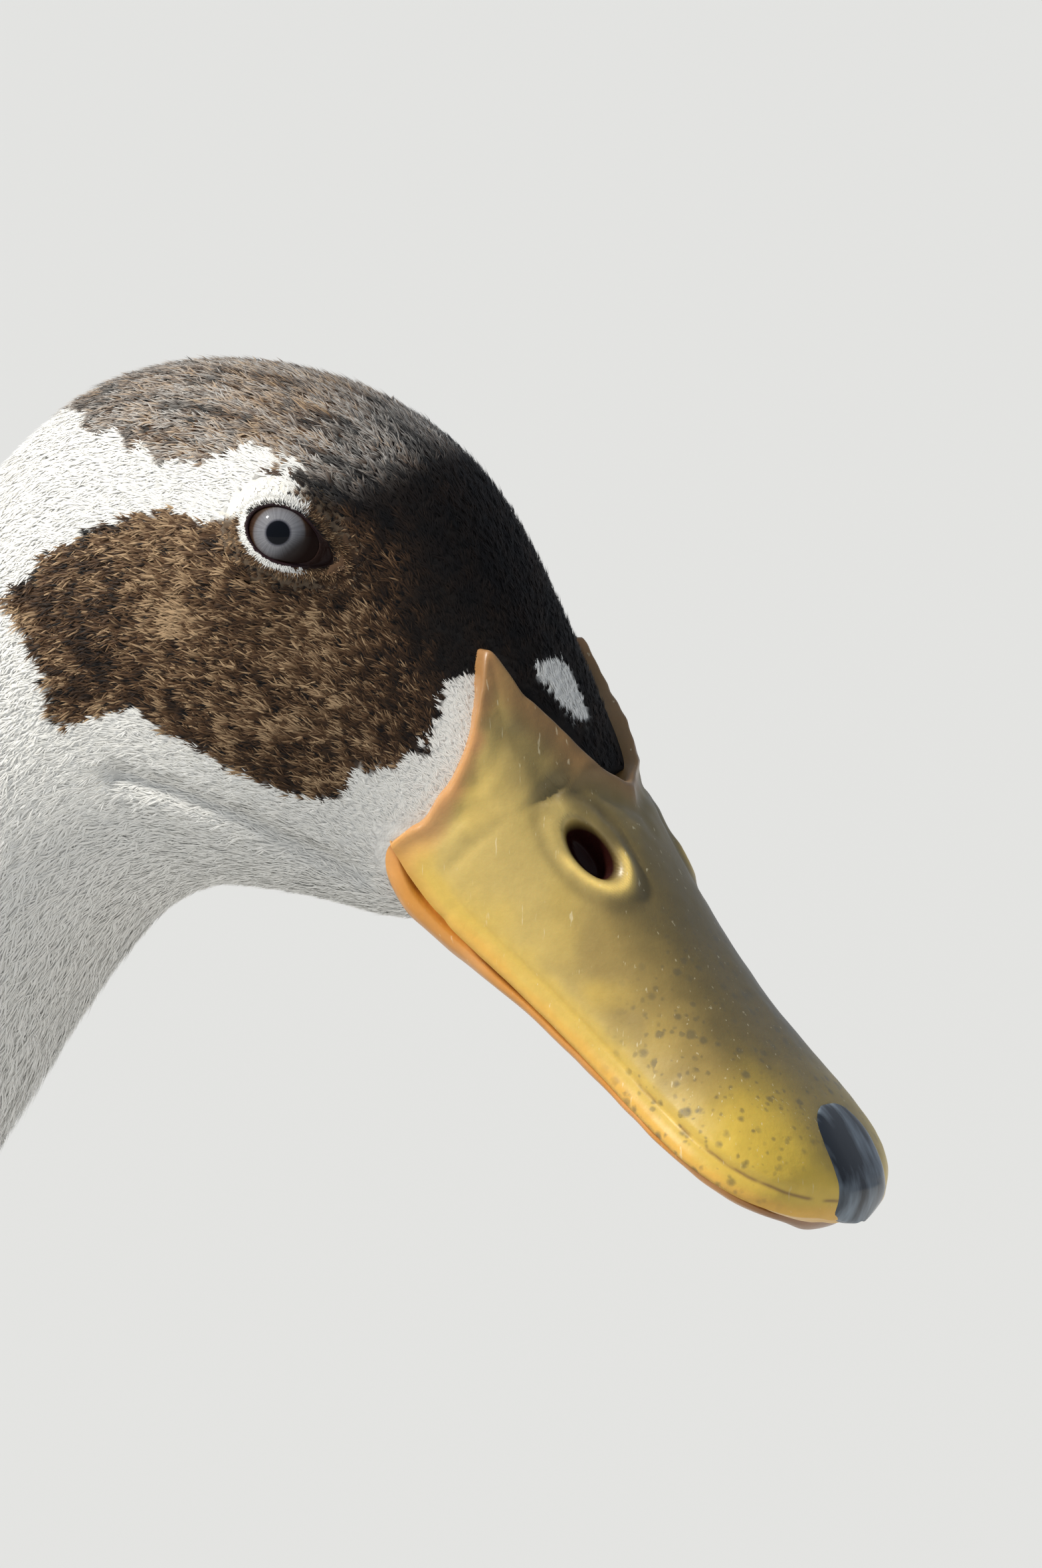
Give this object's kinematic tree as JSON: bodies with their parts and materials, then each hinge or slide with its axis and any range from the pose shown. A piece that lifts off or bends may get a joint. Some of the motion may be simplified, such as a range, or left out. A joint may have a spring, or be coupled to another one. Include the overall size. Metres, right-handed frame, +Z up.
{
  "type": "indian runner duck",
  "caption": "Life-size still model of an upright, long-necked domestic duck, standing with neck arched and bill pointing down.",
  "frame": {"origin": "On the floor, midway between the soles, under the centre of the whole bird's box.", "axes": "+X is the way the duck faces, +Y its left side and +Z up."},
  "size_m": [0.3954, 0.1338, 0.5718],
  "materials": {
    "white_feather": "white feathers",
    "brown_feather": "brown pencilled feathers",
    "bill_horn": "waxy olive-yellow horn with an orange edge",
    "nail_horn": "dark blue-grey horn",
    "eye": "wet grey-blue eye with a dark pupil",
    "leg_skin": "orange scaled skin"
  },
  "bodies": {
    "root": {"bill_lower": "bill_horn", "bill_nail": "nail_horn", "bill_upper": "bill_horn", "claw_hind_left": "nail_horn", "claw_hind_right": "nail_horn", "claw_inner_left": "nail_horn", "claw_inner_right": "nail_horn", "claw_middle_left": "nail_horn", "claw_middle_right": "nail_horn", "claw_outer_left": "nail_horn", "claw_outer_right": "nail_horn", "eye_left": "eye", "eye_right": "eye", "foot_left": "leg_skin", "foot_right": "leg_skin", "head": "brown_feather", "neck": "white_feather", "shank_left": "leg_skin", "shank_right": "leg_skin", "tail": "brown_feather", "thigh_left": "white_feather", "thigh_right": "white_feather", "torso": "brown_feather", "wing_left": "white_feather", "wing_right": "white_feather"}
  },
  "joints": []
}
